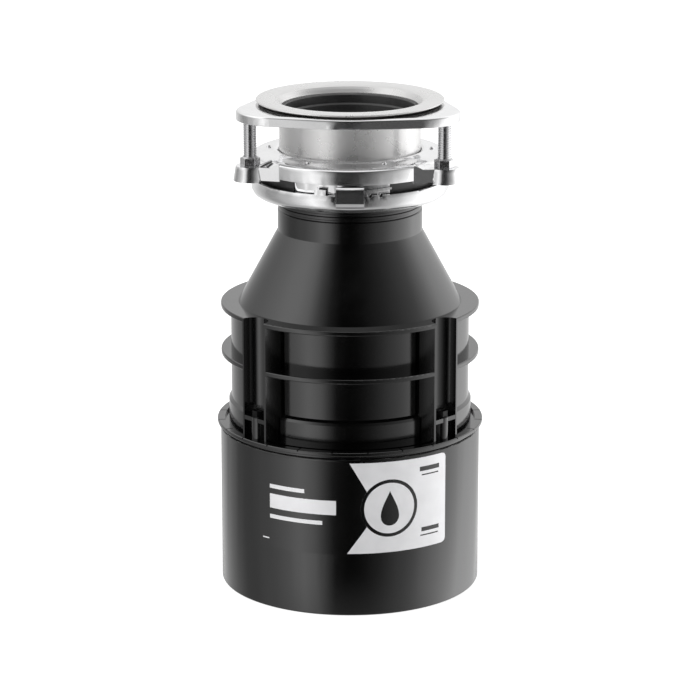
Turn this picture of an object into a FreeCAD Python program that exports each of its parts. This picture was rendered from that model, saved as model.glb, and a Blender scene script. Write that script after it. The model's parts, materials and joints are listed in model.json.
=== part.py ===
"""Kitchen garbage disposal with its three-screw sink mount.

Millimetres, +Z up. The origin is the centre of the canister's lower rim, on the surface it stands on.
The label side faces -Y, and the drain outlet and the dishwasher inlet face +Y.
Angles named *_DEG are turned about +Z from the front (-Y) towards +X.
"""

import FreeCAD, Part
import math
import os

from FreeCAD import Vector

# ---- driving dimensions ----
SHELL_R = 80.15
SHELL_WALL = 1.0
SHELL_TOP = 98.8
SHELL_FOOT_R = 75.0
LABEL_START_DEG = -43.0
LABEL_END_DEG = 46.5
LABEL_BOTTOM = 39.0
LABEL_TOP = 97.2
LABEL_SKIN = 0.15

RIM_R = 82.1
RIM_BOTTOM = 101.0
RIM_TOP = 103.5
SPIGOT_R = 79.0
BODY_BOTTOM = 99.2
BODY_WALL_R = 73.2
PANEL_R = 66.0
CORE_R = 63.0
CHAMBER_R = 60.2
RIB_R = 79.3
RIB_BOTTOM = 145.0
RIB_TOP = 148.0
TOP_RIM_BOTTOM = 174.5
TOP_RIM_TOP = 177.5
STEP_Z = 118.0
CONE_FOOT_R = 68.5
CONE_TOP = 222.3
NECK_R = 44.2
NECK_BORE_R = 40.8
THROAT_R = 38.9
THROAT_BOTTOM = 268.0
THROAT_TOP = 291.4
SLEEVE_TOP = 298.0
BEAD_R = 50.5
BEAD_BOTTOM = 246.0
BEAD_TOP = 249.8
COLUMN_DEG = 47.2
COLUMN_HALF = 10.4
COLUMN_ANGLES = (COLUMN_DEG, 180 - COLUMN_DEG, 180 + COLUMN_DEG, -COLUMN_DEG)
CHANNEL_R = 9.0
CHANNEL_AT_R = 78.9
COLUMN_FLOOR_BOTTOM = 114.6
COLUMN_FLOOR_TOP = 117.2
SCREW_CIRCLE_R = 74.9
SCREW_SHANK_R = 2.3
CHAMBER_STEP_Z = 144.6
DISCHARGE_R = 58.8
FLAT_HALF_X = 39.3
PORT_HALF_X = 38.0

SHAFT_R = 6.35
SHAFT_TOP = 156.0
RUNNING_GAP = 0.04
BEARING_R = 11.0
CORE_BOTTOM = 42.0
CORE_TOP = 78.0
STATOR_R = 66.0
STATOR_BORE_R = 30.0
ROTOR_R = 29.6
PLATE_BOTTOM = 9.0
PLATE_TOP = 11.0
BELL_RIM_TOP = 98.2
FLOOR_TOP = 104.0
BOLT_CIRCLE_R = 71.6
BOLT_R = 2.4
BOLT_ANGLES = (0, 90, 180, 270)
CONDUIT_AT = Vector(-34, 40, 0)
BUTTON_R = 4.8
BUTTON_AT = Vector(39, 39, 0)
WIRING_X = (-60.0, -22.0)
WIRING_Y = (-26.0, 10.0)
COVER_SCREW_AT = Vector(-41, 16.5, 0)
GROUND_SCREW_AT = Vector(-12, 42, 0)
SMALL_HOLE_R = 1.9

DISK_R = 57.4
DISK_BOTTOM = 146.0
DISK_TOP = 148.0
HUB_TOP = 151.0
LUG_PIVOT_R = 34.0
LUG_GAP = 0.35

OUTLET_Z = 125.0
OUTLET_BORE_R = 19.0
OUTLET_FACE_Y = 80.0
OUTLET_HOLE_X = 28.5
OUTLET_HOLE_R = 3.2
OUTLET_EAR_R = 8.0
OUTLET_PLATE = 7.0
INLET_Z = 198.0
INLET_R = 11.1
INLET_END_Y = 79.0
INLET_SHOULDER_Y = 66.0
INLET_SHOULDER_R = 13.5
CONDUIT_R = 11.1

TUBE_R = 43.0
TUBE_BORE_R = 41.8
TUBE_BOTTOM = 262.0
SNAP_Z = 268.95
SNAP_WIRE_R = 1.35
LIP_R = 57.15
LIP_EDGE_Z = 302.3
LIP_RIDGE_R = 52.5
LIP_RIDGE_Z = 303.6

MOUNT_TURN_DEG = -3.0
EAR_R = 67.0
EAR_CUP_R = 8.8
EAR_CUP_FOOT_R = 10.2
EAR_CUP_BOTTOM = 258.8
EAR_TOP = 267.8
EAR_BOTTOM = 259.9
SCREW_R = 3.95
SCREW_PITCH = 1.411
BACKUP_DISC_R = 57.5
BACKUP_LOBE_AT_R = 46.5
BACKUP_LOBE_R = 27.0
BACKUP_BOTTOM = 294.2
BACKUP_TOP = 300.4
BACKUP_HOLE_R = 45.8
SKIRT_R = 59.0
SKIRT_BOTTOM = 261.3
RAMP_RISE_PER_DEG = 0.077
RAMP_START_DEG = -9.0
RAMP_END_DEG = 24.5
RAMP_LOW_Z = 257.0
RAMP_PLATE = 1.3
RAMP_STEPS = 12
RING_R = 59.9
RING_BOTTOM = 243.6
RING_TOP = 255.0

SHEET = 1.8
MAX_REACH = 400.0


# ---- helpers ----
def polar(radius, degrees, z=0.0):
    """A point at a radius and an angle from the front."""
    a = math.radians(degrees)
    return Vector(radius * math.sin(a), -radius * math.cos(a), z)


def tube(outer, inner, z0, z1):
    body = Part.makeCylinder(outer, z1 - z0, Vector(0, 0, z0))
    if inner > 0:
        body = body.cut(Part.makeCylinder(inner, z1 - z0 + 2, Vector(0, 0, z0 - 1)))
    return body


def rounded_disc(outer, inner, z0, z1, edge=0.7):
    """A flat ring with its outer edges rounded over."""
    disc = post(outer, z0, z1)
    rim_edges = [e for e in disc.Edges if e.BoundBox.ZLength < 0.01]
    return disc.makeFillet(edge, rim_edges).cut(post(inner, z0 - 1, z1 + 1))


def post(radius, z0, z1, at=Vector(0, 0, 0)):
    return Part.makeCylinder(radius, z1 - z0, Vector(at.x, at.y, z0))


def turned(profile):
    """Turn a closed outline of (radius, z) points about Z."""
    points = [Vector(r, 0, z) for r, z in profile]
    face = Part.Face(Part.makePolygon(points + points[:1]))
    return face.revolve(Vector(0, 0, 0), Vector(0, 0, 1), 360)


def prism(outline, z0, z1):
    """Extrude a closed outline of (x, y) points from z0 to z1."""
    points = [Vector(x, y, z0) for x, y in outline]
    face = Part.Face(Part.makePolygon(points + points[:1]))
    return face.extrude(Vector(0, 0, z1 - z0))


def box(x0, x1, y0, y1, z0, z1):
    return Part.makeBox(x1 - x0, y1 - y0, z1 - z0, Vector(x0, y0, z0))


def spun(shape, degrees):
    copy = shape.copy()
    copy.rotate(Vector(0, 0, 0), Vector(0, 0, 1), degrees)
    return copy


def ring_of(shape, count, start=0.0):
    """Copies of a shape, evenly spaced about Z."""
    return [spun(shape, start + 360.0 * k / count) for k in range(count)]


def wedge(start_deg, end_deg, z0, z1, reach=MAX_REACH):
    """A pie slice between two angles from the front."""
    steps = max(2, int((end_deg - start_deg) / 30) + 1)
    angles = [start_deg + (end_deg - start_deg) * k / steps for k in range(steps + 1)]
    rim = [(polar(reach, a).x, polar(reach, a).y) for a in angles]
    return prism([(0.0, 0.0)] + rim, z0, z1)


def hexagon(across, z0, z1, at=Vector(0, 0, 0), turn=0.0):
    corner = across / math.sqrt(3)
    angles = [math.radians(60 * k + turn) for k in range(6)]
    return prism([(at.x + corner * math.cos(a), at.y + corner * math.sin(a)) for a in angles], z0, z1)


def fuse(*shapes):
    return shapes[0].multiFuse(list(shapes[1:])).removeSplitter()


def lobed_disc(disc_r, lobe_r, z0, z1, first_deg):
    """The outline that a band takes round a disc and three equal circles set about it."""
    reach = math.degrees(math.acos((disc_r - lobe_r) / BACKUP_LOBE_AT_R))
    parts = [post(disc_r, z0, z1)]
    for k in range(3):
        middle = first_deg + 120 * k
        centre = polar(BACKUP_LOBE_AT_R, middle)
        corners = [Vector(0, 0, 0), polar(disc_r, middle - reach), centre + polar(lobe_r, middle - reach),
                   centre + polar(lobe_r, middle + reach), polar(disc_r, middle + reach)]
        parts.append(prism([(p.x, p.y) for p in corners], z0, z1))
        parts.append(post(lobe_r, z0, z1, centre))
    return fuse(*parts)


def save(name, *solids):
    """Write one node: every solid is checked, and several solids make a group."""
    shape = solids[0] if len(solids) == 1 else Part.makeCompound(list(solids))
    for solid in shape.Solids:
        if not solid.isValid() or solid.Volume <= 0:
            print("bad solid in", name)
    loose = Part.makeCompound(shape.Solids)
    loose.exportStep("parts/" + name + ".step")


# ---- container ----
def screw_column(degrees):
    """Open channel that guides a driver to the screw at its foot."""
    block = box(-COLUMN_HALF, COLUMN_HALF, -RIB_R - 1, -CORE_R + 2, RIM_BOTTOM, TOP_RIM_BOTTOM + 1)
    block = block.common(tube(RIB_R, CORE_R - 2, RIM_BOTTOM, TOP_RIM_BOTTOM + 1))
    channel = post(CHANNEL_R, RIM_TOP, TOP_RIM_BOTTOM + 1, Vector(0, -CHANNEL_AT_R, 0))
    floor = box(-COLUMN_HALF, COLUMN_HALF, -RIB_R + 0.6, -CORE_R, COLUMN_FLOOR_BOTTOM, COLUMN_FLOOR_TOP)
    boss = post(4.4, RIM_BOTTOM, COLUMN_FLOOR_TOP, Vector(0, -SCREW_CIRCLE_R, 0))
    web = box(-1.4, 1.4, -SCREW_CIRCLE_R, -CORE_R, RIM_BOTTOM, 115.0)
    column = fuse(block.cut(channel), floor.common(block), boss.common(tube(RIB_R, 0, 90, 130)), web)
    hole = post(SCREW_SHANK_R + 0.1, 90, 118, Vector(0, -SCREW_CIRCLE_R, 0))
    seat = post(4.3, 116.4, 118, Vector(0, -SCREW_CIRCLE_R, 0))
    return spun(column.cut(hole).cut(seat), degrees)


def container_moulding():
    """The whole moulding, before it is parted into hopper, body and drain panel."""
    core = turned([
        (DISCHARGE_R, BODY_BOTTOM), (CORE_R, BODY_BOTTOM), (CORE_R, TOP_RIM_BOTTOM),
        (CONE_FOOT_R, TOP_RIM_TOP),
        (NECK_R, CONE_TOP), (NECK_R, 234.8), (43.3, 235.4), (43.3, 236.3), (44.1, 236.8), (44.1, 238.2),
        (43.3, 238.7), (43.3, 239.8), (44.1, 240.3), (44.1, 241.6), (43.3, 242.2), (43.3, BEAD_BOTTOM),
        (BEAD_R, BEAD_BOTTOM), (BEAD_R, BEAD_TOP), (NECK_BORE_R, BEAD_TOP), (NECK_BORE_R, CONE_TOP + 1.5),
        (CHAMBER_R, 188.0), (CHAMBER_R, CHAMBER_STEP_Z), (DISCHARGE_R, CHAMBER_STEP_Z)])
    spigot = tube(SPIGOT_R, CORE_R - 1, BODY_BOTTOM, RIM_BOTTOM)
    rim = rounded_disc(RIM_R, CORE_R - 1, RIM_BOTTOM, RIM_TOP)
    trough = tube(77.4, BODY_WALL_R + 1.6, RIM_BOTTOM + 0.6, RIM_TOP + 1)
    notch = box(-0.4, 0.4, -RIM_R - 1, -77.0, RIM_TOP - 0.8, RIM_TOP + 1)
    mid_rib = rounded_disc(RIB_R, CORE_R - 1, RIB_BOTTOM, RIB_TOP)
    top_rim = rounded_disc(RIB_R, CORE_R - 1, TOP_RIM_BOTTOM, TOP_RIM_TOP)
    walls = []
    for side in (90, -90):
        slice_ = wedge(side - 37.5, side + 37.5, RIM_BOTTOM, TOP_RIM_BOTTOM + 1)
        skirt = turned([(CORE_R, RIM_BOTTOM), (BODY_WALL_R + 1.6, RIM_BOTTOM),
                        (BODY_WALL_R + 1.6, STEP_Z - 2),
                        (BODY_WALL_R, STEP_Z), (BODY_WALL_R, TOP_RIM_BOTTOM + 1),
                        (CORE_R, TOP_RIM_BOTTOM + 1)])
        walls.append(skirt.common(slice_))
    panel = turned([(CORE_R - 1, RIM_BOTTOM), (PANEL_R, RIM_BOTTOM), (PANEL_R, TOP_RIM_BOTTOM + 1),
                    (CORE_R - 1, TOP_RIM_BOTTOM + 1)])
    foot = turned([(CORE_R - 1, RIM_BOTTOM), (PANEL_R + 2.6, RIM_BOTTOM), (PANEL_R + 2.6, 116.0),
                   (PANEL_R + 1.9, 117.6), (PANEL_R, 119.0), (CORE_R - 1, 119.0)])
    panels = []
    for sign in (-1, 1):
        near, far = sorted((sign * 30, sign * RIM_R))
        panels.append(panel.common(box(-FLAT_HALF_X, FLAT_HALF_X, near, far, 90, 190)))
        panels.append(foot.common(box(-FLAT_HALF_X - 2.7, FLAT_HALF_X + 2.7, near, far, 90, 190)))
    body = fuse(core, spigot, rim.cut(trough), mid_rib, top_rim, *walls, *panels,
                *[screw_column(a) for a in COLUMN_ANGLES])
    notches = ring_of(notch, 24, 7.5)
    pockets = []
    for side in (90, -90):
        pocket = tube(BODY_WALL_R - 2.6, CORE_R + 0.2, BODY_BOTTOM - 1, TOP_RIM_BOTTOM - 2)
        pockets.append(pocket.common(wedge(side - 29, side + 29, BODY_BOTTOM - 2, TOP_RIM_BOTTOM)))
    shaft = post(CHANNEL_R, COLUMN_FLOOR_TOP + 0.5, TOP_RIM_TOP + 1, Vector(0, -CHANNEL_AT_R, 0))
    shafts = [spun(shaft, a) for a in COLUMN_ANGLES]
    body = body.cut(Part.makeCompound(notches + pockets + shafts))
    body = fuse(body, outlet_port(), inlet_nipple())
    bore = Part.makeCylinder(OUTLET_BORE_R, 60, Vector(0, 45, OUTLET_Z), Vector(0, 1, 0))
    holes = [Part.makeCylinder(OUTLET_HOLE_R, 30, Vector(x, 72, OUTLET_Z), Vector(0, 1, 0))
             for x in (-OUTLET_HOLE_X, OUTLET_HOLE_X)]
    blind = Part.makeCylinder(INLET_R - 2.2, 30, Vector(0, 60, INLET_Z), Vector(0, 1, 0))
    screw_holes = [spun(post(SCREW_SHANK_R + 0.1, 90, 118, Vector(0, -SCREW_CIRCLE_R, 0)), a)
                   for a in COLUMN_ANGLES]
    return body.cut(Part.makeCompound([bore, blind] + holes + screw_holes))


def hopper_zone():
    return box(-MAX_REACH, MAX_REACH, -MAX_REACH, MAX_REACH, TOP_RIM_TOP, MAX_REACH)


def drain_zone():
    return box(-PORT_HALF_X, PORT_HALF_X, 40, OUTLET_FACE_Y + 1, RIM_TOP, RIB_BOTTOM)


def outlet_port():
    """Drain outlet with a two-screw flange for an elbow."""
    barrel = Part.makeCylinder(OUTLET_BORE_R + 3.4, 21, Vector(0, 59, OUTLET_Z), Vector(0, 1, 0))
    back = OUTLET_FACE_Y - OUTLET_PLATE
    ears = [Part.makeCylinder(OUTLET_EAR_R, OUTLET_PLATE, Vector(x, back, OUTLET_Z), Vector(0, 1, 0))
            for x in (-OUTLET_HOLE_X, OUTLET_HOLE_X)]
    plate = box(-OUTLET_HOLE_X, OUTLET_HOLE_X, back, OUTLET_FACE_Y, OUTLET_Z - OUTLET_EAR_R,
                OUTLET_Z + OUTLET_EAR_R)
    wet_side = fuse(post(DISCHARGE_R, 90, 190), post(CHAMBER_R, CHAMBER_STEP_Z, 190))
    return fuse(barrel, plate, *ears).cut(wet_side)


def inlet_nipple():
    """Closed dishwasher inlet: the plug at its root is knocked out to use it."""
    nipple = Part.makeCylinder(INLET_R, INLET_END_Y - 52, Vector(0, 52, INLET_Z), Vector(0, 1, 0))
    shoulder = Part.makeCylinder(INLET_SHOULDER_R, INLET_SHOULDER_Y - 46, Vector(0, 46, INLET_Z),
                                 Vector(0, 1, 0))
    wet_side = turned([(0, 170), (CHAMBER_R + 1, 170), (CHAMBER_R + 1, 188.4),
                       (NECK_BORE_R + 1, CONE_TOP + 1.9),
                       (0, CONE_TOP + 1.9)])
    return fuse(nipple, shoulder).cut(wet_side)


def container_screws():
    shank = post(SCREW_SHANK_R, 88.0, 117.0, Vector(0, -SCREW_CIRCLE_R, 0))
    head = hexagon(7.0, 116.4, 121.4, Vector(0, -SCREW_CIRCLE_R, 0))
    collar = post(4.1, 116.4, 117.8, Vector(0, -SCREW_CIRCLE_R, 0))
    slot = box(-4.5, 4.5, -SCREW_CIRCLE_R - 0.6, -SCREW_CIRCLE_R + 0.6, 119.9, 122)
    return [spun(fuse(shank, head, collar).cut(slot), a) for a in COLUMN_ANGLES]


# ---- sink mount ----
def sink_flange():
    """Thin-walled tube with a bead groove for the snap ring and a nearly flat lip."""
    bead = TUBE_R - 0.7
    inner_bead = TUBE_BORE_R - 0.7
    return turned([
        (TUBE_BORE_R, TUBE_BOTTOM), (TUBE_R, TUBE_BOTTOM), (TUBE_R, SNAP_Z - 1.9), (bead, SNAP_Z - 1.3),
        (bead, SNAP_Z + 1.3), (TUBE_R, SNAP_Z + 1.9), (TUBE_R, 298.6), (TUBE_R + 0.9, 300.6),
        (TUBE_R + 3.0, 301.7),
        (LIP_RIDGE_R, LIP_RIDGE_Z - 1.5), (LIP_R - 1.2, LIP_EDGE_Z - 0.4), (LIP_R - 0.2, LIP_EDGE_Z - 0.3),
        (LIP_R, LIP_EDGE_Z), (LIP_R - 0.2, LIP_EDGE_Z + 0.45), (LIP_R - 1.0, LIP_EDGE_Z + 0.9),
        (LIP_RIDGE_R, LIP_RIDGE_Z), (LIP_RIDGE_R - 4.0, LIP_RIDGE_Z - 0.25), (TUBE_R + 2.6, 302.7),
        (TUBE_R + 1.0, 301.8), (TUBE_R + 0.1, 300.5), (TUBE_BORE_R, 298.4), (TUBE_BORE_R, SNAP_Z + 2.2),
        (inner_bead, SNAP_Z + 1.5), (inner_bead, SNAP_Z - 1.5), (TUBE_BORE_R, SNAP_Z - 2.2)])


def sink_gasket():
    return turned([(47.6, 300.9), (47.6, 301.6), (LIP_RIDGE_R, 301.9), (LIP_R - 2.0, 301.6),
                   (LIP_R - 2.0, 300.9)])


def backup_flange():
    first = 60.0 + MOUNT_TURN_DEG
    plate = lobed_disc(BACKUP_DISC_R, BACKUP_LOBE_R, BACKUP_BOTTOM, BACKUP_TOP, first)
    top_edges = [e for e in plate.Edges if all(abs(v.Z - BACKUP_TOP) < 0.01 for v in e.Vertexes)]
    plate = plate.makeFillet(1.9, top_edges)
    ceiling = BACKUP_TOP - SHEET
    inner = lobed_disc(BACKUP_DISC_R - SHEET, BACKUP_LOBE_R - SHEET, BACKUP_BOTTOM - 1, ceiling, first)
    collar = tube(BACKUP_HOLE_R + SHEET, BACKUP_HOLE_R, BACKUP_BOTTOM + 1.5, BACKUP_TOP - 1)
    return fuse(plate.cut(inner), collar).cut(post(BACKUP_HOLE_R, BACKUP_BOTTOM - 1, BACKUP_TOP + 1))


def ear_outline(inset):
    """Half-width of an ear where it leaves the skirt and where it meets the cup, less an inset."""
    root = 17.5 - inset
    tip = EAR_CUP_R - inset
    return [(-root, -50.0), (-root, -56.3), (-tip, -EAR_R + 1.5), (tip, -EAR_R + 1.5), (root, -56.3),
            (root, -50.0)]


def ear_cup(inset, top):
    """Flared cup under the end of an ear, less an inset."""
    flare = (EAR_CUP_FOOT_R - EAR_CUP_R) / (EAR_TOP - EAR_CUP_BOTTOM)
    bottom = EAR_CUP_BOTTOM - inset
    wide = EAR_CUP_R + flare * (EAR_TOP - bottom) - inset
    narrow = EAR_CUP_R + flare * (EAR_TOP - top) - inset
    return Part.makeCone(wide, narrow, top - bottom, Vector(0, -EAR_R, bottom))


def upper_mounting_ring():
    crown = turned([
        (TUBE_R + 0.5, 270.4), (46.8, 270.4), (55.6, 268.6), (57.2, 267.3), (57.2, SKIRT_BOTTOM),
        (SKIRT_R, SKIRT_BOTTOM), (SKIRT_R, 268.9), (SKIRT_R - 0.6, 270.0), (SKIRT_R - 2.2, 270.7),
        (48.0, 272.0),
        (46.6, 272.7), (45.0, 272.7), (TUBE_R + 0.5, 271.9)])
    bump = Part.makeSphere(1.6, polar(49.6, 27.0, 271.4))
    ears = []
    for k in range(3):
        top = [(-40.0, 270.2), (-57.4, 270.2), (-60.6, EAR_TOP), (-90.0, EAR_TOP), (-90.0, 290.0),
               (-40.0, 290.0)]
        points = [Vector(-30, y, z) for y, z in top]
        slope = Part.Face(Part.makePolygon(points + points[:1])).extrude(Vector(60, 0, 0))
        low = slope.copy()
        low.translate(Vector(0, 0, -SHEET))
        outside = prism(ear_outline(0), EAR_BOTTOM, 275)
        inside = prism(ear_outline(SHEET), EAR_BOTTOM - 1, 275).cut(low)
        inside = fuse(inside, ear_cup(SHEET, EAR_TOP - SHEET))
        cup = ear_cup(0, EAR_TOP)
        rib = Part.makeCylinder(1.1, 9.0, Vector(6.6, -64.0, 267.6), Vector(0.35, 0.86, 0.42))
        ear = fuse(outside.cut(slope), cup, rib).cut(inside)
        ear = ear.cut(tube(SKIRT_R - 0.6, 0, 250, 280))
        ear = ear.cut(post(SCREW_R + 0.35, 250, 280, Vector(0, -EAR_R, 0)))
        ears.append(spun(ear, -60 + 120 * k))
    window = prism(ear_outline(SHEET), EAR_BOTTOM - 1, 267.0).common(tube(70, 56, EAR_BOTTOM - 1, 267.0))
    shell = crown.cut(Part.makeCompound(ring_of(window, 3, -60.0)))
    tabs = ring_of(ramped_tab(), 3, -MOUNT_TURN_DEG)
    bumps = [spun(bump, 120 * k + t) for k in range(3) for t in (0, -54)]
    ring = fuse(shell, *ears, *tabs, *bumps)
    return spun(ring, MOUNT_TURN_DEG)


def ramped_tab():
    """A wall that drops inside the locking ring, with the sloping ramp that a lug climbs."""
    wall = turned([(57.2, 266.0), (57.2, 264.2), (55.2, 262.6), (55.2, 250.0), (56.8, 250.0),
                   (56.8, SKIRT_BOTTOM), (SKIRT_R, SKIRT_BOTTOM), (SKIRT_R, 266.0)])
    wall = wall.common(wedge(-36.0, RAMP_END_DEG, 245, 270))
    step = (RAMP_END_DEG - RAMP_START_DEG) / RAMP_STEPS
    pieces = []
    for k in range(RAMP_STEPS):
        pieces.append(ramp_piece(RAMP_START_DEG + k * step, RAMP_START_DEG + (k + 1) * step))
    return fuse(wall, *pieces)


def ramp_piece(a, b):
    """One straight stretch of the ramp between two angles: a six-faced block."""
    corners = []
    for angle in (a, b):
        top = RAMP_LOW_Z + RAMP_RISE_PER_DEG * (angle - RAMP_START_DEG)
        low = top - RAMP_PLATE
        section = ((56.0, low), (59.6, low), (59.6, top), (56.0, top))
        corners.append([polar(radius, angle, z) for radius, z in section])
    first, last = corners
    faces = [Part.Face(Part.makePolygon(first + first[:1])), Part.Face(Part.makePolygon(last + last[:1]))]
    for i in range(4):
        j = (i + 1) % 4
        for tri in ([first[i], first[j], last[j]], [first[i], last[j], last[i]]):
            faces.append(Part.Face(Part.makePolygon(tri + tri[:1])))
    solid = Part.makeSolid(Part.makeShell(faces))
    return solid if solid.Volume > 0 else solid.reversed()


def clinch_nuts():
    at = Vector(0, -EAR_R, 0)
    nut = fuse(hexagon(10.6, 267.8, 272.6, at), post(4.9, 272.6, 273.2, at))
    nut = nut.cut(post(SCREW_R + 0.06, 260, 280, at))
    return ring_of(nut, 3, -60.0 + MOUNT_TURN_DEG)


def mounting_screw(degrees):
    """Slotted jacking screw; its thread is cut as evenly spaced grooves."""
    at = Vector(0, -EAR_R, 0)
    shank = post(SCREW_R, 259.5, 297.8, at)
    head = fuse(post(5.6, 257.9, 260.4, at), post(2.9, 297.6, 298.2, at))
    slot = box(-6, 6, -EAR_R - 0.7, -EAR_R + 0.7, 257.0, 258.9)
    grooves = []
    count = int((296.0 - 274.0) / SCREW_PITCH)
    for k in range(count):
        z = 274.4 + k * SCREW_PITCH
        grooves.append(tube(SCREW_R + 1, SCREW_R - 0.55, z, z + SCREW_PITCH * 0.45).translated(at))
    screw = fuse(shank, head).cut(slot).cut(Part.makeCompound(grooves))
    return spun(screw, degrees)


def snap_ring():
    wire = Part.makeTorus(TUBE_R + 0.75, SNAP_WIRE_R, Vector(0, 0, SNAP_Z))
    return wire.cut(wedge(165, 178, 260, 280))


def rolled_lug():
    """Loop on the locking ring that a turning tool enters and that hooks over a ramp."""
    outline = [(58.4, 249.0), (61.4, 248.2), (63.4, 249.2), (64.4, 251.4), (64.4, 257.2), (63.4, 259.6),
               (61.6, 260.5),
               (58.2, 260.5), (58.2, 258.7), (61.0, 258.7), (62.0, 258.0), (62.6, 256.8), (62.6, 251.8),
               (61.8, 250.6), (60.4, 250.2), (58.4, 250.8)]
    points = [Vector(-8.3, -r, z) for r, z in outline]
    return Part.Face(Part.makePolygon(points + points[:1])).extrude(Vector(16.6, 0, 0))


def lower_mounting_ring():
    bowl = turned([
        (44.8, RING_BOTTOM), (53.5, RING_BOTTOM), (56.4, 244.4), (58.6, 245.9), (RING_R, 248.4),
        (RING_R, 251.5),
        (59.5, RING_TOP), (57.7, RING_TOP), (58.0, 251.5), (58.0, 248.9), (57.0, 247.2), (55.6, 246.2),
        (53.4, 245.4), (44.8, 245.4)])
    ear = turned([(58.2, RING_TOP - 1), (59.4, RING_TOP - 1), (59.4, 258.2), (58.2, 258.2)])
    ear = ear.common(wedge(-21.0, -14.0, 250, 262))
    gap = box(-8.8, 8.8, -62, -50, 251.0, 262)
    bowl = bowl.cut(Part.makeCompound(ring_of(gap, 3)))
    ring = fuse(bowl, *ring_of(rolled_lug(), 3), *ring_of(ear, 3))
    notches = []
    for angle in (11.5, 18.0):
        notches += ring_of(Part.makeCylinder(1.2, 8, polar(64, angle, RING_TOP), polar(-1, angle)), 3)
    scallops = ring_of(Part.makeCylinder(5.0, 20, polar(70, -18.0, 240.4), polar(-1, -18.0)), 3)
    return ring.cut(Part.makeCompound(notches + scallops))


def mounting_gasket():
    return turned([
        (BEAD_R, 246.2), (54.3, 246.2), (54.3, 265.0), (53.3, 266.0), (TUBE_R + 0.5, 266.0),
        (TUBE_R + 0.5, 263.8),
        (50.6, 263.8), (50.6, 257.0), (NECK_BORE_R, 257.0), (NECK_BORE_R, BEAD_TOP), (BEAD_R, BEAD_TOP)])


def splash_baffle():
    sleeve = turned([
        (40.7, 257.0), (40.7, 288.0), (41.4, 290.0), (41.4, SLEEVE_TOP - 0.8),
        (40.7, SLEEVE_TOP), (39.9, SLEEVE_TOP - 0.8), (39.9, THROAT_TOP + 1.0), (THROAT_R, THROAT_TOP),
        (THROAT_R, THROAT_BOTTOM), (30.0, 264.6), (13.0, 262.0), (13.0, 260.2), (30.0, 262.4), (39.0, 265.2), (39.4, 257.0)])
    slit = box(-0.5, 0.5, -37.0, -10.0, 255, 270)
    return sleeve.cut(Part.makeCompound(ring_of(slit, 8)))


# ---- grinding parts ----
def shredder_ring():
    ring = tube(59.9, 58.2, CHAMBER_STEP_Z + 0.2, 172.0)
    cut = box(-1.4, 1.4, -61, -57, 150.5, 165.0)
    return ring.cut(Part.makeCompound(ring_of(cut, 30)))


def shredder_disk():
    disk = turned([(SHAFT_R, DISK_BOTTOM), (DISK_R, DISK_BOTTOM), (DISK_R, DISK_TOP), (11.5, DISK_TOP),
                   (9.8, HUB_TOP), (SHAFT_R, HUB_TOP)])
    bites = ring_of(post(2.6, 140, 152, polar(DISK_R - 0.4, 0)), 18, 10.0)
    drains = ring_of(post(3.0, 140, 152, polar(46.0, 0)), 8, 22.5)
    rivets = ring_of(post(3.0, 140, 152, polar(LUG_PIVOT_R, 0)), 2, 90.0)
    return disk.cut(Part.makeCompound(bites + drains + rivets))


def swivel_lug(degrees):
    """Free-swinging hammer: a flat arm with a raised outer end, on its rivet."""
    low = DISK_TOP + LUG_GAP
    at = polar(LUG_PIVOT_R, 0)
    nose_y = -LUG_PIVOT_R - 13.5
    arm = fuse(post(9.0, low, low + 3.0, at), box(-8.0, 8.0, nose_y, -LUG_PIVOT_R, low, low + 3.0),
               post(8.0, low, low + 3.0, Vector(0, nose_y, 0)))
    rise = box(-8.0, 8.0, nose_y - 5.5, nose_y - 1.5, low, low + 13.0)
    toe = rise.common(post(8.0, low, low + 13.0, Vector(0, nose_y, 0)))
    hole = post(4.0 + 0.05, 140, 170, at)
    return spun(fuse(arm, toe).cut(hole), degrees)


def lug_rivets():
    low = DISK_TOP + LUG_GAP
    at = polar(LUG_PIVOT_R, 0)
    rivet = fuse(post(3.0, DISK_BOTTOM - 1.2, DISK_TOP, at), post(4.0, DISK_TOP, low + 3.35, at),
                 post(6.4, low + 3.35, low + 5.0, at), post(4.6, DISK_BOTTOM - 1.6, DISK_BOTTOM, at))
    return ring_of(rivet, 2, 90.0)


def disk_nut():
    nut = hexagon(15.8, HUB_TOP, HUB_TOP + 6.0)
    dome = Part.makeSphere(7.8, Vector(0, 0, HUB_TOP + 2.4)).common(tube(12, 0, HUB_TOP + 6.0,
            HUB_TOP + 17.0))
    return fuse(nut, dome).cut(post(SHAFT_R, 140, SHAFT_TOP))


# ---- motor ----
def motor_shaft():
    shaft = Part.makeCylinder(SHAFT_R, SHAFT_TOP - 7.0, Vector(0, 0, 7.0))
    return shaft.cut(hexagon(6.6, 6.0, 17.0))


def rotor_core():
    core = tube(ROTOR_R, SHAFT_R, CORE_BOTTOM, CORE_TOP)
    bars = [post(1.6, CORE_BOTTOM - 1, CORE_TOP + 1, polar(26.4, 360.0 * k / 28)) for k in range(28)]
    return core.cut(Part.makeCompound(bars))


def rotor_cage():
    """Cast bars and end rings, with fan blades on both ends: one casting."""
    rings = [tube(28.6, 18.0, CORE_BOTTOM - 4.0, CORE_BOTTOM), tube(28.6, 18.0, CORE_TOP, CORE_TOP + 4.0)]
    bars = [post(1.6, CORE_BOTTOM - 0.5, CORE_TOP + 0.5, polar(26.4, 360.0 * k / 28)) for k in range(28)]
    blade = box(-0.9, 0.9, -28.0, -20.0, CORE_TOP + 3.5, CORE_TOP + 8.5)
    return fuse(*rings, *bars, *ring_of(blade, 8))


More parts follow.
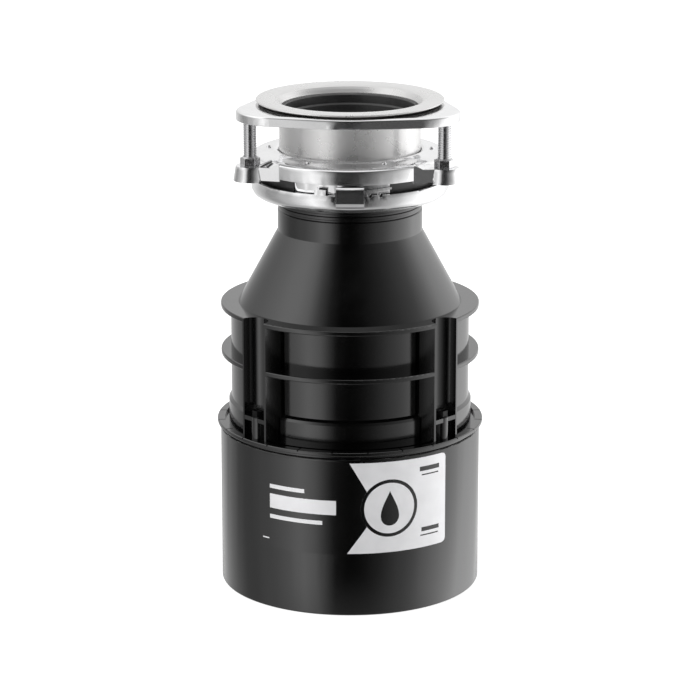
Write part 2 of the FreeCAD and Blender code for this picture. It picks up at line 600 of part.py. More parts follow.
def stator_core():
    core = tube(STATOR_R, STATOR_BORE_R, CORE_BOTTOM, CORE_TOP)
    slot = fuse(box(-1.1, 1.1, -36, -29, CORE_BOTTOM - 1, CORE_TOP + 1),
                box(-3.0, 3.0, -54, -34, CORE_BOTTOM - 1, CORE_TOP + 1))
    return core.cut(Part.makeCompound(ring_of(slot, 24)))


def stator_windings():
    def coil(z0, z1):
        mid = (z0 + z1) / 2
        return turned([(36, z0), (56, z0), (58, mid), (56, z1), (38, z1), (34.5, mid)])
    return [coil(CORE_TOP + 0.4, CORE_TOP + 12.4), coil(CORE_BOTTOM - 12.4, CORE_BOTTOM - 0.4)]


def bearing(z0, z1):
    return tube(BEARING_R, SHAFT_R + RUNNING_GAP, z0, z1)


def thrust_washers():
    return [tube(10.0, SHAFT_R, 24.4, 25.6), tube(10.0, SHAFT_R, 90.4, 91.7)]


def actuator_base():
    return fuse(tube(9.5, SHAFT_R, 34.6, 37.6), tube(16.0, 9.0, 36.2, 37.6))


def actuator_spool():
    return fuse(tube(9.0, SHAFT_R + 0.07, 26.4, 31.8), tube(15.5, 8.5, 26.4, 27.8))


def lower_end_frame():
    frame = turned([
        (8.2, 6.6), (15.0, 6.6), (15.0, PLATE_BOTTOM), (78.9, PLATE_BOTTOM), (78.9, 22.0), (76.6, 22.0),
        (76.6, PLATE_TOP), (15.0, PLATE_TOP), (15.0, 24.0), (BEARING_R, 24.0), (BEARING_R, 9.6),
        (8.2, 9.6)])
    rib = box(-1.2, 1.2, -77, -14.5, PLATE_TOP, 17.0).cut(box(-2, 2, -40, -20, 13.0, 20))
    ribs = ring_of(rib, 6, 30.0)
    bosses = [post(6.0, PLATE_BOTTOM, 22.0, polar(BOLT_CIRCLE_R, a)) for a in BOLT_ANGLES]
    bosses = [b.common(tube(78.9, 0, 0, 40)) for b in bosses]
    frame = fuse(frame, *ribs, *bosses)
    cuts = [post(BOLT_R + 0.1, 0, 40, polar(BOLT_CIRCLE_R, a)) for a in BOLT_ANGLES]
    cuts.append(post(CONDUIT_R, 0, 20, CONDUIT_AT))
    cuts.append(post(CONDUIT_R + 3.0, PLATE_TOP, 20, CONDUIT_AT))
    cuts.append(post(BUTTON_R + 0.4, 0, 20, BUTTON_AT))
    cuts.append(box(*WIRING_X, *WIRING_Y, 0, PLATE_TOP + 1))
    cuts.append(box(WIRING_X[0] - 2, WIRING_X[1] + 2, WIRING_Y[0] - 2, WIRING_Y[1] + 2, PLATE_TOP, 30))
    cuts.append(post(SMALL_HOLE_R, 0, 30, COVER_SCREW_AT))
    cuts.append(post(SMALL_HOLE_R, 0, 30, GROUND_SCREW_AT))
    cuts.append(box(18.5, 37.5, -8.5, 8.5, PLATE_TOP, 40))
    cuts.append(box(26.0, 52.0, 28.0, 50.0, PLATE_TOP, 40))
    return frame.cut(Part.makeCompound(cuts))


def through_bolts():
    bolts = []
    for a in BOLT_ANGLES:
        at = polar(BOLT_CIRCLE_R, a)
        bolts.append(fuse(post(BOLT_R, 8.0, 97.0, at), hexagon(8.0, 5.2, PLATE_BOTTOM, at)))
    return bolts


def upper_end_bell():
    bell = turned([
        (BEARING_R, 93.0), (15.5, 93.0), (20.0, 98.5), (56.0, 95.4), (60.0, 92.5), (67.0, 92.0),
        (67.0, 86.0),
        (78.9, 86.0), (78.9, BELL_RIM_TOP), (58.4, BELL_RIM_TOP), (57.2, 100.2), (22.0, FLOOR_TOP),
        (17.0, 112.0),
        (13.5, 113.0), (13.5, 108.0), (BEARING_R, 108.0)])
    cuts = [post(BOLT_R + 0.05, 80, 97.1, polar(BOLT_CIRCLE_R, a)) for a in BOLT_ANGLES]
    cuts += [spun(post(SCREW_SHANK_R + 0.05, 80, 99, Vector(0, -SCREW_CIRCLE_R, 0)),
                  a) for a in COLUMN_ANGLES]
    return bell.cut(Part.makeCompound(cuts))


def body_seal():
    return tube(62.8, 59.2, BELL_RIM_TOP, BODY_BOTTOM)


def shaft_seal():
    bore = SHAFT_R + 0.06
    return turned([(bore, 108.1), (13.5, 108.1), (13.5, 113.0), (9.0, 113.0), (7.2, 115.2), (bore, 115.2)])


def slinger():
    return turned([(SHAFT_R, 117.0), (10.0, 117.0), (19.5, 115.2), (20.0, 116.4), (11.0, 120.5),
                   (SHAFT_R, 120.5)])


def start_switch():
    body = box(20.0, 36.0, -7.0, 7.0, PLATE_TOP, 22.6)
    cheeks = [box(31.0, 36.0, -7.0, -4.2, 22.6, 28.4), box(31.0, 36.0, 4.2, 7.0, 22.6, 28.4)]
    pin = Part.makeCylinder(1.0, 12, Vector(33.5, -6.0, 25.4), Vector(0, 1, 0))
    return fuse(body, pin, *cheeks)


def switch_lever():
    arm = box(13.2, 33.5, -2.6, 2.6, 24.9, 25.9)
    eye = Part.makeCylinder(2.2, 7.4, Vector(33.5, -3.7, 25.4), Vector(0, 1, 0))
    hole = Part.makeCylinder(1.06, 12, Vector(33.5, -6.0, 25.4), Vector(0, 1, 0))
    return fuse(arm, eye).cut(hole)


def overload_protector():
    case = box(28.0, 50.0, 30.0, 48.0, PLATE_TOP, 26.0)
    return case.cut(post(BUTTON_R + 0.4, 8, 20, BUTTON_AT))


def reset_button():
    return fuse(post(BUTTON_R, 7.2, 16.0, BUTTON_AT), post(BUTTON_R - 0.8, 6.4, 7.4, BUTTON_AT))


def terminal_cover():
    x0, x1 = WIRING_X
    y0, y1 = WIRING_Y
    plate = box(x0 - 3, x1 + 3, y0 - 3, y1 + 10, PLATE_BOTTOM - 1.2, PLATE_BOTTOM)
    lip = box(x0 + 0.4, x1 - 0.4, y0 + 0.4, y1 - 0.4, PLATE_BOTTOM, PLATE_BOTTOM + 1.4)
    lip = lip.cut(box(x0 + 1.6, x1 - 1.6, y0 + 1.6, y1 - 1.6, PLATE_BOTTOM, 20))
    return fuse(plate, lip).cut(post(SMALL_HOLE_R, 0, 20, COVER_SCREW_AT))


def small_screw(at, seat, length):
    """Pan-head screw driven upwards."""
    head = post(3.6, seat - 2.2, seat, at)
    slot = box(at.x - 4, at.x + 4, at.y - 0.5, at.y + 0.5, seat - 3, seat - 1.2)
    return fuse(head.cut(slot), post(1.8, seat - 0.5, seat + length, at))


def trim_shell():
    inner = SHELL_R - SHELL_WALL
    return turned([
        (SHELL_FOOT_R, 0.0), (SHELL_R - 1.2, 0.0), (SHELL_R - 0.35, 0.35), (SHELL_R, 1.2),
        (SHELL_R, SHELL_TOP - 0.4),
        (SHELL_R - 0.4, SHELL_TOP), (inner, SHELL_TOP), (inner, 1.2), (SHELL_FOOT_R, 1.0)])


def front_label():
    """Thin plate wrapped round the canister, with rounded corners."""
    corner = 3.0
    skin = tube(SHELL_R + LABEL_SKIN, SHELL_R, LABEL_BOTTOM, LABEL_TOP)
    skin = skin.common(wedge(LABEL_START_DEG, LABEL_END_DEG, LABEL_BOTTOM, LABEL_TOP))
    for angle, inward in ((LABEL_START_DEG, 1), (LABEL_END_DEG, -1)):
        for z, up in ((LABEL_BOTTOM, 1), (LABEL_TOP, -1)):
            at = polar(SHELL_R - 2, angle)
            side = polar(1, angle + 90 * inward)
            centre = Vector(at.x + side.x * corner, at.y + side.y * corner, z + up * corner)
            round_ = Part.makeCylinder(corner, 12, Vector(0, 1, 0), Vector(0, -1, 0))
            quarter = Part.makeBox(corner + 1, 10, corner + 1,
                                   Vector(-corner - 1 if inward > 0 else 0, -10,
                                          -corner - 1 if up > 0 else 0))
            nick = quarter.cut(round_)
            nick.rotate(Vector(0, 0, 0), Vector(0, 0, 1), angle)
            nick.translate(centre)
            skin = skin.cut(nick)
    return skin


# ---- write every node ----
def main():
    os.makedirs("parts", exist_ok=True)
    moulding = container_moulding()
    save("hopper", moulding.common(hopper_zone()))
    save("drain_panel", moulding.common(drain_zone()))
    save("container_body", moulding.cut(hopper_zone()).cut(drain_zone()))
    save("container_screws", *container_screws())
    save("sink_flange", sink_flange())
    save("sink_gasket", sink_gasket())
    save("backup_flange", backup_flange())
    save("upper_mounting_ring", upper_mounting_ring())
    save("clinch_nuts", *clinch_nuts())
    for k in range(3):
        save("mounting_screw_%d" % (k + 1), mounting_screw(-60.0 + 120 * k + MOUNT_TURN_DEG))
    save("snap_ring", snap_ring())
    save("lower_mounting_ring", lower_mounting_ring())
    save("mounting_gasket", mounting_gasket())
    save("splash_baffle", splash_baffle())
    save("shredder_ring", shredder_ring())
    save("shredder_disk", shredder_disk())
    save("swivel_lug_1", swivel_lug(90))
    save("swivel_lug_2", swivel_lug(-90))
    save("lug_rivets", *lug_rivets())
    save("disk_nut", disk_nut())
    save("motor_shaft", motor_shaft())
    save("rotor_core", rotor_core())
    save("rotor_cage", rotor_cage())
    save("stator_core", stator_core())
    save("stator_windings", *stator_windings())
    save("lower_bearing", bearing(9.6, 24.0))
    save("upper_bearing", bearing(93.0, 108.0))
    save("thrust_washers", *thrust_washers())
    save("actuator_base", actuator_base())
    save("actuator_spool", actuator_spool())
    save("start_switch", start_switch())
    save("switch_lever", switch_lever())
    save("overload_protector", overload_protector())
    save("reset_button", reset_button())
    save("lower_end_frame", lower_end_frame())
    save("upper_end_bell", upper_end_bell())
    save("through_bolts", *through_bolts())
    save("body_seal", body_seal())
    save("shaft_seal", shaft_seal())
    save("slinger", slinger())
    save("terminal_cover", terminal_cover())
    save("terminal_cover_screw", small_screw(COVER_SCREW_AT, PLATE_BOTTOM - 1.2, 5.0))
    save("ground_screw", small_screw(GROUND_SCREW_AT, PLATE_BOTTOM, 4.0))
    save("trim_shell", trim_shell())
    save("front_label", front_label())


main()
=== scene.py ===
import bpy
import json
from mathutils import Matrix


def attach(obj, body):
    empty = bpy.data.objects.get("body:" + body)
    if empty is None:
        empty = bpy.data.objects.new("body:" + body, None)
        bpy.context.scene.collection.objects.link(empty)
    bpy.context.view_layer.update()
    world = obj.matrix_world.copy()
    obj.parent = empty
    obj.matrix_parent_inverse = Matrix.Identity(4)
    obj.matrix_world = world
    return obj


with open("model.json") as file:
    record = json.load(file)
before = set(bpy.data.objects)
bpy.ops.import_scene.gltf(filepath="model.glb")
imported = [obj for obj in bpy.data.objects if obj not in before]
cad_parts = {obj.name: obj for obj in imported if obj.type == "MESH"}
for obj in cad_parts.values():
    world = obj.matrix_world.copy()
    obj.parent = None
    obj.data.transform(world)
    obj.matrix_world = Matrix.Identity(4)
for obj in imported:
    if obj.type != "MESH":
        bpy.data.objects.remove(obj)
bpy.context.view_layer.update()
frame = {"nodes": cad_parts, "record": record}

import json
import math

import bmesh
import bpy
from mathutils import Vector

MM = 0.001
GLOSSY_IOR = 1.89
SHARP_ANGLE = math.radians(32)
BEVEL_ANGLE = math.radians(38)
BEVEL_SEGMENTS = 2
GRAIN_DEPTH = 0.5 * MM
BAND_DEPTH = 0.4 * MM
BAND_STRENGTH = 0.5
BAND_WANDER = 0.6
# A wave texture of scale 0.314 repeats once a unit.
WAVE_UNIT = 0.314
WELD_DISTANCE = 0.02 * MM


# ---- node helpers ----
class Tree:
    """Short names for adding nodes to a material or world."""

    def __init__(self, owner):
        owner.use_nodes = True
        self.tree = owner.node_tree
        self.tree.nodes.clear()

    def add(self, kind, **settings):
        node = self.tree.nodes.new(kind)
        for key, value in settings.items():
            setattr(node, key, value)
        return node

    def link(self, start, end):
        self.tree.links.new(start, end)

    def math(self, operation, a, b=None):
        node = self.add("ShaderNodeMath", operation=operation)
        for socket, value in zip(node.inputs, (a, b)):
            if value is None:
                continue
            if isinstance(value, (int, float)):
                socket.default_value = value
            else:
                self.link(value, socket)
        return node.outputs[0]

    def ramp(self, factor, stops):
        node = self.add("ShaderNodeValToRGB")
        elements = node.color_ramp.elements
        while len(elements) < len(stops):
            elements.new(0.5)
        for element, (position, color) in zip(elements, stops):
            element.position = position
            element.color = (*color, 1.0)
        self.link(factor, node.inputs["Fac"])
        return node.outputs["Color"]

    def spread(self, value, low, high, start=0.3, end=0.7):
        node = self.add("ShaderNodeMapRange")
        self.link(value, node.inputs["Value"])
        limits = {"From Min": start, "From Max": end, "To Min": low, "To Max": high}
        for name, number in limits.items():
            node.inputs[name].default_value = number
        return node.outputs["Result"]

    def noise(self, vector, scale, detail=3.0):
        node = self.add("ShaderNodeTexNoise")
        node.inputs["Scale"].default_value = scale
        node.inputs["Detail"].default_value = detail
        self.link(vector, node.inputs["Vector"])
        return node.outputs["Fac"]


def grey(value):
    return (value, value, value)


def finish_material(name, base, roughness, metallic=0.0, tint=0.12, patch=90.0, grain=2600.0, bump=0.02,
                    turned=0.0, sheen=0.0, specks=0.0):
    """A surface with patchy colour and gloss and fine grain; turning marks or specks are optional."""
    material = bpy.data.materials.new(name)
    t = Tree(material)
    out = t.add("ShaderNodeOutputMaterial")
    shader = t.add("ShaderNodeBsdfPrincipled")
    t.link(shader.outputs["BSDF"], out.inputs["Surface"])
    shader.inputs["Metallic"].default_value = metallic
    shader.inputs["IOR"].default_value = GLOSSY_IOR
    shader.inputs["Sheen Weight"].default_value = sheen
    place = t.add("ShaderNodeTexCoord").outputs["Object"]
    broad = t.noise(place, patch, 4.0)
    fine = t.noise(place, grain, 2.0)
    low = tuple(c * (1.0 - tint) for c in base)
    high = tuple(min(1.0, c * (1.0 + tint)) for c in base)
    color = t.ramp(broad, [(0.3, low), (0.7, high)])
    if specks > 0.0:
        cells = t.add("ShaderNodeTexVoronoi")
        cells.inputs["Scale"].default_value = grain * 0.5
        t.link(place, cells.inputs["Vector"])
        dots = t.ramp(cells.outputs["Distance"], [(0.0, grey(1.0 - specks)), (0.35, grey(1.0))])
        mix = t.add("ShaderNodeMix", data_type="RGBA", blend_type="MULTIPLY")
        mix.inputs["Factor"].default_value = 1.0
        t.link(color, mix.inputs["A"])
        t.link(dots, mix.inputs["B"])
        color = mix.outputs["Result"]
    t.link(color, shader.inputs["Base Color"])
    t.link(t.spread(broad, roughness[0], roughness[1]), shader.inputs["Roughness"])
    if turned > 0.0:
        shader.inputs["Anisotropic"].default_value = turned
        tangent = t.add("ShaderNodeTangent", direction_type="RADIAL", axis="Z")
        t.link(tangent.outputs["Tangent"], shader.inputs["Tangent"])
    relief = t.add("ShaderNodeBump")
    relief.inputs["Strength"].default_value = bump
    relief.inputs["Distance"].default_value = GRAIN_DEPTH
    t.link(fine, relief.inputs["Height"])
    t.link(relief.outputs["Normal"], shader.inputs["Normal"])
    return material


def wound_material(name, dark, light, pitch, metallic, roughness):
    """Stacked sheets or wound wire: fine level bands up the part, in colour and in relief."""
    material = bpy.data.materials.new(name)
    t = Tree(material)
    out = t.add("ShaderNodeOutputMaterial")
    shader = t.add("ShaderNodeBsdfPrincipled")
    t.link(shader.outputs["BSDF"], out.inputs["Surface"])
    shader.inputs["Metallic"].default_value = metallic
    place = t.add("ShaderNodeTexCoord").outputs["Object"]
    wave = t.add("ShaderNodeTexWave", bands_direction="Z")
    wave.inputs["Scale"].default_value = WAVE_UNIT / pitch
    wave.inputs["Distortion"].default_value = BAND_WANDER
    t.link(place, wave.inputs["Vector"])
    t.link(t.ramp(wave.outputs["Fac"], [(0.15, dark), (0.7, light)]), shader.inputs["Base Color"])
    t.link(t.spread(t.noise(place, 120.0), roughness[0], roughness[1]), shader.inputs["Roughness"])
    relief = t.add("ShaderNodeBump")
    relief.inputs["Strength"].default_value = BAND_STRENGTH
    relief.inputs["Distance"].default_value = BAND_DEPTH
    t.link(wave.outputs["Fac"], relief.inputs["Height"])
    t.link(relief.outputs["Normal"], shader.inputs["Normal"])
    return material


MATERIALS = {
    "body_plastic": finish_material("moulded_black", grey(0.0022), (0.10, 0.17), grain=1500.0,
                                    bump=0.03, patch=60.0),
    "canister_enamel": finish_material("black_enamel", grey(0.0022), (0.10, 0.15), grain=900.0,
                                       bump=0.035, patch=40.0),
    "mount_chrome": finish_material("chrome_plate", (0.95, 0.95, 0.955), (0.05, 0.10), metallic=0.96,
                                    tint=0.03, grain=420.0, bump=0.012, patch=70.0),
    "flange_steel": finish_material("polished_stainless", (0.86, 0.855, 0.85), (0.26, 0.31),
                                    metallic=0.66, tint=0.02, grain=700.0, bump=0.006, turned=0.25),
    "screw_black": finish_material("black_oxide", grey(0.03), (0.3, 0.42), metallic=1.0, tint=0.2,
                                   grain=2400.0, bump=0.08, patch=400.0),
    "screw_zinc": finish_material("zinc_plate", (0.74, 0.74, 0.75), (0.2, 0.32), metallic=1.0, tint=0.1,
                                  grain=2400.0, bump=0.06, patch=500.0),
    "black_rubber": finish_material("black_rubber", grey(0.010), (0.36, 0.5), grain=1800.0, bump=0.08,
                                    sheen=0.05),
    "gasket_fibre": finish_material("fibre_gasket", (0.030, 0.027, 0.024), (0.75, 0.9), tint=0.35,
                                    grain=1400.0, bump=0.3, patch=700.0),
    "grind_steel": finish_material("stamped_stainless", (0.62, 0.62, 0.63), (0.24, 0.38),
                                   metallic=1.0, tint=0.08, grain=1500.0, bump=0.08, turned=0.3),
    "cast_metal": finish_material("die_cast", (0.50, 0.51, 0.53), (0.42, 0.56), metallic=1.0, tint=0.16,
                                  grain=900.0, bump=0.3, patch=160.0, specks=0.15),
    "lamination_steel": wound_material("stacked_laminations", (0.10, 0.10, 0.12), (0.34, 0.35, 0.38),
                                       0.0005, 1.0, (0.35, 0.5)),
    "winding_copper": wound_material("varnished_wire", (0.20, 0.07, 0.025), (0.78, 0.36, 0.15),
                                     0.0009, 1.0, (0.2, 0.34)),
    "bearing_bronze": finish_material("sintered_bronze", (0.60, 0.42, 0.20), (0.35, 0.5),
                                      metallic=1.0, tint=0.12, grain=2600.0, bump=0.25, specks=0.35),
    "switch_plastic": finish_material("phenolic_black", (0.035, 0.033, 0.031), (0.35, 0.5), tint=0.2,
                                      bump=0.08),
    "spool_plastic": finish_material("nylon_natural", (0.66, 0.63, 0.55), (0.34, 0.46), tint=0.06,
                                     bump=0.05),
    "reset_red": finish_material("button_red", (0.55, 0.012, 0.010), (0.16, 0.26), tint=0.1, bump=0.03),
    "cover_zinc": finish_material("galvanised_sheet", (0.58, 0.59, 0.61), (0.26, 0.4), metallic=1.0,
                                  tint=0.14, grain=500.0, bump=0.1, patch=260.0),
    "ground_green": finish_material("green_dip", (0.02, 0.26, 0.07), (0.25, 0.4), tint=0.15, bump=0.08),
    "label_silver": finish_material("label_foil_silver", (0.90, 0.90, 0.915), (0.30, 0.38),
                                    metallic=0.25, tint=0.04, grain=2600.0, bump=0.03, patch=90.0),
    "label_film": finish_material("label_film_black", grey(0.002), (0.16, 0.2), grain=1200.0,
                                  bump=0.015),
}


def soften(node, width):
    """Round the edges of a CAD node by a little, as moulding and pressing do."""
    weld = node.modifiers.new("weld", "WELD")
    weld.merge_threshold = WELD_DISTANCE
    bevel = node.modifiers.new("edges", "BEVEL")
    bevel.width = width * MM
    bevel.segments = BEVEL_SEGMENTS
    bevel.limit_method = "ANGLE"
    bevel.angle_limit = BEVEL_ANGLE
    bevel.use_clamp_overlap = True
    bevel.harden_normals = True


SOFT_EDGES = {
    "container_screws": 0.25, "clinch_nuts": 0.3,
    "upper_mounting_ring": 0.5, "lower_mounting_ring": 0.4, "backup_flange": 0.4, "trim_shell": 0.3,
    "splash_baffle": 0.4, "shredder_disk": 0.2, "swivel_lug_1": 0.4, "swivel_lug_2": 0.4,
    "lower_end_frame": 0.4, "terminal_cover": 0.25}


def dress_cad_nodes():
    for name, width in SOFT_EDGES.items():
        soften(frame["nodes"][name], width)
    for row in frame["record"]["subparts"]:
        node = frame["nodes"][row["node"]]
        material = MATERIALS[row["material_slot"]]
        if not node.material_slots:
            node.data.materials.append(material)
        for material_slot in node.material_slots:
            material_slot.material = material


# ---- label art ----
FILM_R = 80.30
LABEL_R = 80.34
PRINT_SEAT_R = 80.33
SILVER_SEAT_R = 80.29
PRINT_THICKNESS = 0.05
LABEL_TOP = 96.6
LABEL_FOOT = 39.7
LABEL_RIGHT_DEG = 45.9
LABEL_CORNER = 3.0
RING_AT_DEG = 17.4
RING_AT_Z = 67.5
RING_OUTER = 18.0
RING_STROKE = 2.1
RING_STEPS = 72
PANEL_ROWS = 96
PANEL_COLUMNS = 36
DROP_ROWS = 40
DROP_HALF_COLUMNS = 6
DROP_TIP = 0.05
BAR_STEP_DEG = 1.5
DROP_HALF_WIDTH = 8.2
DROP_HALF_HEIGHT = 11.0
# Plain bars where print would be: start and end degrees, low and high z.
SILVER_BARS = ((-37.0, -6.0, 64.0, 73.0), (-37.0, -20.0, 76.5, 79.0), (-37.0, -12.0, 57.5, 60.0),
               (-41.0, -37.5, 44.0, 44.8))
BLACK_BARS = ((31.5, 42.0, 88.0, 90.8), (32.5, 41.5, 85.2, 86.0), (32.5, 42.0, 49.8, 52.4),
              (32.0, 41.5, 47.0, 47.8))


def arc_degrees(length):
    return math.degrees(length / LABEL_R)


def wrapped_plate(name, grid, inner, outer, closed=False):
    """A thin solid from a grid of (degrees, height) points, laid on the canister's curve."""
    rows, columns = len(grid), len(grid[0])
    bm = bmesh.new()
    layers = []
    for radius in (inner, outer):
        layer = []
        for row in grid:
            for degrees, z in row:
                a = math.radians(degrees)
                layer.append(bm.verts.new((radius * math.sin(a) * MM, -radius * math.cos(a) * MM,
                                           z * MM)))
        layers.append(layer)
    back, front = layers
    last = rows if closed else rows - 1
    for i in range(last):
        for j in range(columns - 1):
            a, b = i * columns + j, (i + 1) % rows * columns + j
            bm.faces.new((front[a], front[a + 1], front[b + 1], front[b]))
            bm.faces.new((back[b], back[b + 1], back[a + 1], back[a]))
    for i in range(last):
        for j in (0, columns - 1):
            a, b = i * columns + j, (i + 1) % rows * columns + j
            bm.faces.new((front[a], front[b], back[b], back[a]))
    if not closed:
        for i in (0, rows - 1):
            for j in range(columns - 1):
                a = i * columns + j
                bm.faces.new((front[a], back[a], back[a + 1], front[a + 1]))
    bmesh.ops.recalc_face_normals(bm, faces=bm.faces)
    mesh = bpy.data.meshes.new(name)
    bm.to_mesh(mesh)
    bm.free()
    for face in mesh.polygons:
        face.use_smooth = True
    piece = bpy.data.objects.new(name, mesh)
    bpy.context.scene.collection.objects.link(piece)
    piece.modifiers.new("corners", "EDGE_SPLIT").split_angle = SHARP_ANGLE
    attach(piece, "housing")
    return piece


def disc_grid(at_deg, at_z, outer, inner):
    """Rows round a circle: one point on the inner circle and one on the outer."""
    rows = []
    for k in range(RING_STEPS):
        a = 2.0 * math.pi * k / RING_STEPS
        rows.append([(at_deg + arc_degrees(r * math.cos(a)), at_z + r * math.sin(a)) for r in (inner,
                outer)])
    return rows


def drop_grid(at_deg, at_z):
    """Rows down a plain drop, from its point to its round foot."""
    rows = []
    for k in range(DROP_ROWS + 1):
        a = math.pi * k / DROP_ROWS
        half = max(DROP_TIP, DROP_HALF_WIDTH * math.sin(a) * math.sin(a / 2.0) ** 1.5)
        z = at_z + DROP_HALF_HEIGHT * math.cos(a)
        steps = range(-DROP_HALF_COLUMNS, DROP_HALF_COLUMNS + 1)
        rows.append([(at_deg + arc_degrees(half * j / DROP_HALF_COLUMNS), z) for j in steps])
    return rows


def bar_grid(start_deg, end_deg, low, high):
    """A level bar, with enough columns to follow the curve."""
    columns = max(4, int((end_deg - start_deg) / BAR_STEP_DEG))
    rows = []
    for z in (low, high):
        rows.append([(start_deg + (end_deg - start_deg) * j / columns, z) for j in range(columns + 1)])
    return rows


# The slants meet the ring at SLANT_DEG; each gives where it starts and ends in z, and its last degree.
SLANT_DEG = 7.2
UPPER_SLANT = (78.7, 97.0, -0.4)
LOWER_SLANT = (56.3, LABEL_FOOT, -1.3)


def panel_left(z):
    """Left edge of the silver panel: two slants that meet the ring."""
    upper, top, top_deg = UPPER_SLANT
    lower, foot, foot_deg = LOWER_SLANT
    if z > upper:
        return SLANT_DEG + (top_deg - SLANT_DEG) * (z - upper) / (top - upper)
    if z < lower:
        return SLANT_DEG + (foot_deg - SLANT_DEG) * (lower - z) / (lower - foot)
    return RING_AT_DEG - arc_degrees(math.sqrt(RING_OUTER ** 2 - (z - RING_AT_Z) ** 2))


def panel_right(z):
    near = min(z - LABEL_FOOT, LABEL_TOP - z)
    if near >= LABEL_CORNER:
        return LABEL_RIGHT_DEG
    cut = LABEL_CORNER - math.sqrt(LABEL_CORNER ** 2 - (LABEL_CORNER - near) ** 2)
    return LABEL_RIGHT_DEG - arc_degrees(cut)


def make_label_art():
    """A silver panel with a ring and a plain drop, and plain bars where lettering would be."""
    rows = []
    for i in range(PANEL_ROWS + 1):
        z = LABEL_FOOT + (LABEL_TOP - LABEL_FOOT) * i / PANEL_ROWS
        left, right = panel_left(z), panel_right(z)
        rows.append([(left + (right - left) * j / PANEL_COLUMNS, z) for j in range(PANEL_COLUMNS + 1)])
    panel = wrapped_plate("label_panel", rows, FILM_R, LABEL_R)
    panel.data.materials.append(MATERIALS["label_silver"])
    outline = disc_grid(RING_AT_DEG, RING_AT_Z, RING_OUTER, RING_OUTER - RING_STROKE)
    ring = wrapped_plate("label_ring", outline, PRINT_SEAT_R, PRINT_SEAT_R + PRINT_THICKNESS,
                         closed=True)
    ring.data.materials.append(MATERIALS["label_film"])
    outline = drop_grid(RING_AT_DEG, RING_AT_Z)
    drop = wrapped_plate("label_drop", outline, PRINT_SEAT_R, PRINT_SEAT_R + PRINT_THICKNESS)
    drop.data.materials.append(MATERIALS["label_film"])
    for material, bars in (("label_silver", SILVER_BARS), ("label_film", BLACK_BARS)):
        for k, bar in enumerate(bars):
            seat = SILVER_SEAT_R if material == "label_silver" else PRINT_SEAT_R
            name = "%s_bar_%d" % (material, k + 1)
            piece = wrapped_plate(name, bar_grid(*bar), seat, seat + PRINT_THICKNESS)
            piece.data.materials.append(MATERIALS[material])


# ---- studio ----
FLOOR_HALF = 3.0
FLOOR_DROP = 0.2 * MM
FLOOR_GLOW = 0.86
FLOOR_GREY = 0.8
CAMERA_AT = Vector((0.0, -1.864, 0.652))
CAMERA_AIM = Vector((0.0, 0.0, 0.145))
CAMERA_LENS = 160.9
STUDIO_BRIGHTEST = 5.0
STUDIO_GAIN = 0.42
STUDIO_OVERHEAD = 2.2
STUDIO_BELOW = 0.9
# Sines of the heights between which one turns into the other: low wall to high, wall to ceiling,
# wall to ground.
WALL_BLEND = (0.05, 0.5)
CEILING_BLEND = (0.72, 0.92)
GROUND_BLEND = (-0.55, -0.9)
# Brightness round the studio low down and high up: degrees from the front towards +X, and radiance.
STUDIO_LOW = (
    (-180, 2.1), (-150, 1.6), (-112, 0.64), (-99, 0.70), (-86, 0.98), (-77, 1.07), (-58, 1.7),
    (-45, 2.4), (-32, 1.8),
    (-23, 0.75), (-15, 0.08), (0, 0.01), (9, 0.04), (17, 0.12), (25, 0.25), (34, 0.48), (42, 0.72),
    (51, 0.95),
    (60, 1.3), (69, 1.85), (79, 2.4), (90, 2.9), (103, 3.5), (117, 4.2), (150, 2.4), (180, 2.1))
STUDIO_HIGH = (
    (-180, 2.2), (-150, 2.1), (-128, 2.1), (-110, 2.5), (-94, 2.6), (-79, 2.9), (-66, 3.0),
    (-52, 2.4), (-39, 1.0),
    (-25, 0.2), (-12, 0.01), (2, 0.01), (15, 0.04), (28, 0.16), (42, 0.30), (55, 0.5), (69, 0.78),
    (83, 1.1),
    (97, 1.8), (113, 2.7), (134, 2.5), (155, 2.2), (180, 2.2))


def make_camera():
    camera = bpy.data.objects.new("camera", bpy.data.cameras.new("camera"))
    camera.data.lens = CAMERA_LENS
    camera.data.sensor_width = 36.0
    camera.data.clip_start = 0.05
    camera.location = CAMERA_AT
    camera.rotation_euler = (CAMERA_AIM - CAMERA_AT).to_track_quat("-Z", "Y").to_euler()
    bpy.context.scene.collection.objects.link(camera)
    bpy.context.scene.camera = camera


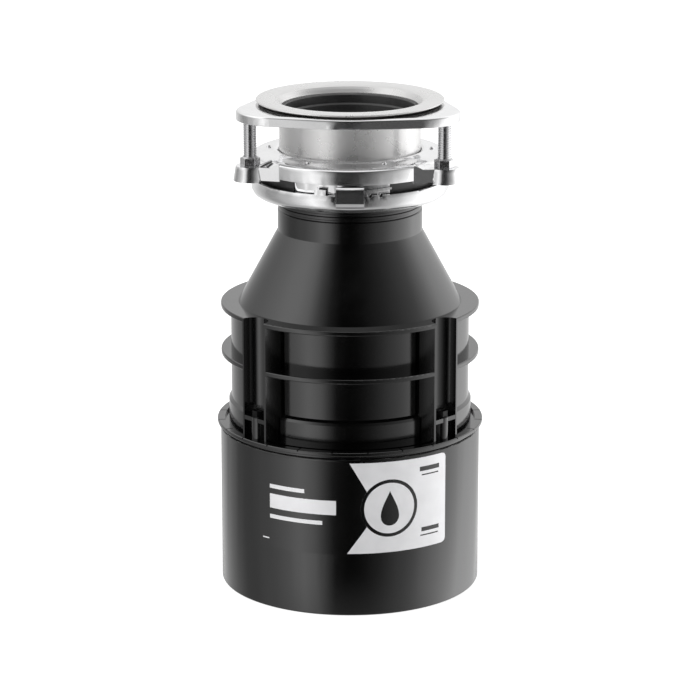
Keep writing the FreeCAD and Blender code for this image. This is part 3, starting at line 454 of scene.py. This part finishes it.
def make_studio():
    """A white backdrop; reflections see broad soft boxes at the sides and a dark gap behind the camera."""
    world = bpy.data.worlds.new("studio")
    bpy.context.scene.world = world
    t = Tree(world)
    direction = t.add("ShaderNodeTexCoord").outputs["Generated"]
    axes = t.add("ShaderNodeSeparateXYZ")
    t.link(direction, axes.inputs[0])
    turn = t.math("ARCTAN2", axes.outputs["X"], t.math("MULTIPLY", axes.outputs["Y"], -1.0))
    along = t.math("ADD", t.math("DIVIDE", turn, 2.0 * math.pi), 0.5)
    walls = []
    for table in (STUDIO_LOW, STUDIO_HIGH):
        ramp = t.ramp(along, [(a / 360.0 + 0.5, grey(v / STUDIO_BRIGHTEST)) for a, v in table])
        walls.append(t.math("MULTIPLY", ramp, STUDIO_BRIGHTEST))
    rise = t.spread(axes.outputs["Z"], 0.0, 1.0, *WALL_BLEND)
    wall = t.math("ADD", t.math("MULTIPLY", walls[0], t.math("SUBTRACT", 1.0, rise)),
                  t.math("MULTIPLY", walls[1], rise))
    high = t.spread(axes.outputs["Z"], 0.0, 1.0, *CEILING_BLEND)
    low = t.spread(axes.outputs["Z"], 0.0, 1.0, *GROUND_BLEND)
    keep = t.math("SUBTRACT", 1.0, t.math("ADD", high, low))
    seen = t.math("MULTIPLY", wall, keep)
    seen = t.math("ADD", seen, t.math("MULTIPLY", high, STUDIO_OVERHEAD))
    seen = t.math("ADD", seen, t.math("MULTIPLY", low, STUDIO_BELOW))
    studio = t.add("ShaderNodeBackground")
    t.link(t.math("MULTIPLY", seen, STUDIO_GAIN), studio.inputs["Strength"])
    backdrop = t.add("ShaderNodeBackground")
    backdrop.inputs["Strength"].default_value = 1.0
    for shader in (studio, backdrop):
        shader.inputs["Color"].default_value = (1.0, 1.0, 1.0, 1.0)
    mix = t.add("ShaderNodeMixShader")
    path = t.add("ShaderNodeLightPath")
    t.link(path.outputs["Is Camera Ray"], mix.inputs["Fac"])
    t.link(studio.outputs[0], mix.inputs[1])
    t.link(backdrop.outputs[0], mix.inputs[2])
    out = t.add("ShaderNodeOutputWorld")
    t.link(mix.outputs[0], out.inputs["Surface"])


def make_floor():
    """A pale floor, wide enough to pass out of sight."""
    mesh = bpy.data.meshes.new("floor")
    turns = ((-1, -1), (1, -1), (1, 1), (-1, 1))
    corners = [(x * FLOOR_HALF, y * FLOOR_HALF, -FLOOR_DROP) for x, y in turns]
    mesh.from_pydata(corners, [], [(0, 1, 2, 3)])
    floor = bpy.data.objects.new("floor", mesh)
    bpy.context.scene.collection.objects.link(floor)
    material = bpy.data.materials.new("floor_white")
    t = Tree(material)
    glow = t.add("ShaderNodeEmission")
    glow.inputs["Strength"].default_value = FLOOR_GLOW
    matt = t.add("ShaderNodeBsdfDiffuse")
    matt.inputs["Color"].default_value = (*grey(FLOOR_GREY), 1.0)
    both = t.add("ShaderNodeAddShader")
    t.link(glow.outputs[0], both.inputs[0])
    t.link(matt.outputs[0], both.inputs[1])
    out = t.add("ShaderNodeOutputMaterial")
    t.link(both.outputs[0], out.inputs["Surface"])
    mesh.materials.append(material)
    floor.visible_glossy = False


make_camera()
make_studio()
make_floor()
dress_cad_nodes()
make_label_art()
bpy.context.scene.view_settings.view_transform = "Standard"
